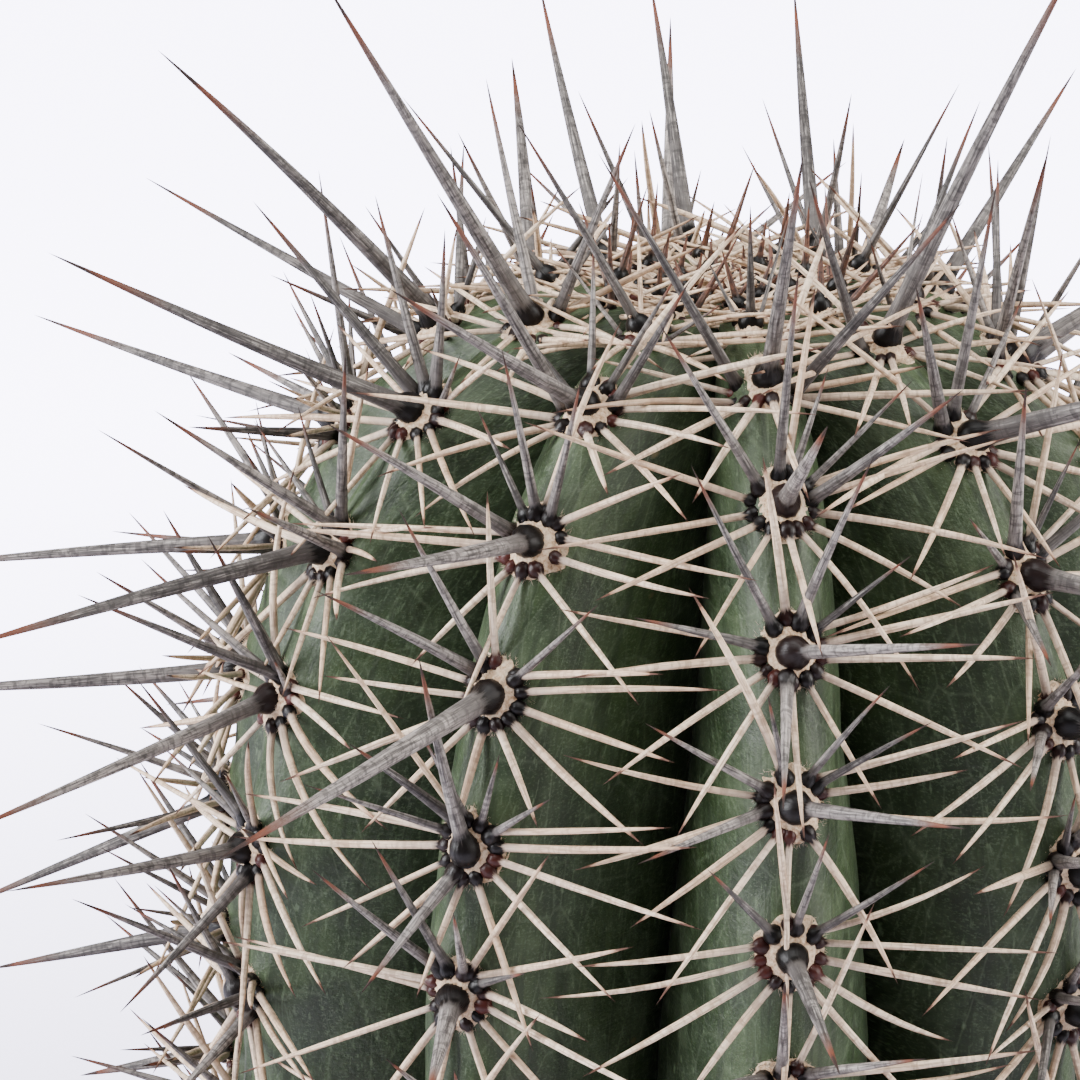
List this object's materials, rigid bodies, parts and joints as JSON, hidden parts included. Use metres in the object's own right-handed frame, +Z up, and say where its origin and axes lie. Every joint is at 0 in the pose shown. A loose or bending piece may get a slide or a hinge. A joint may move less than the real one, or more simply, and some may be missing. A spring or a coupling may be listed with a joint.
{
  "type": "potted saguaro cactus",
  "caption": "Potted saguaro cactus: a stout ribbed green stem with a row of long-spined areoles on each rib, in soil in a plain clay pot.",
  "frame": {"origin": "centre of the pot's underside, which is the middle of the surface that the plant stands on", "axes": "+Z up along the stem; -Y is the front, from which the plant is seen in the reference view, and +X is to the right there"},
  "size_m": [0.2225, 0.2245, 0.3671],
  "materials": {
    "terracotta": "matte",
    "soil": "matte",
    "skin": "satin",
    "spines": "satin"
  },
  "bodies": {
    "root": {"pot": "terracotta", "soil": "soil", "stem": "skin", "spine_row_01": "spines", "spine_row_02": "spines", "spine_row_03": "spines", "spine_row_04": "spines", "spine_row_05": "spines", "spine_row_06": "spines", "spine_row_07": "spines", "spine_row_08": "spines", "spine_row_09": "spines", "spine_row_10": "spines"}
  },
  "joints": []
}
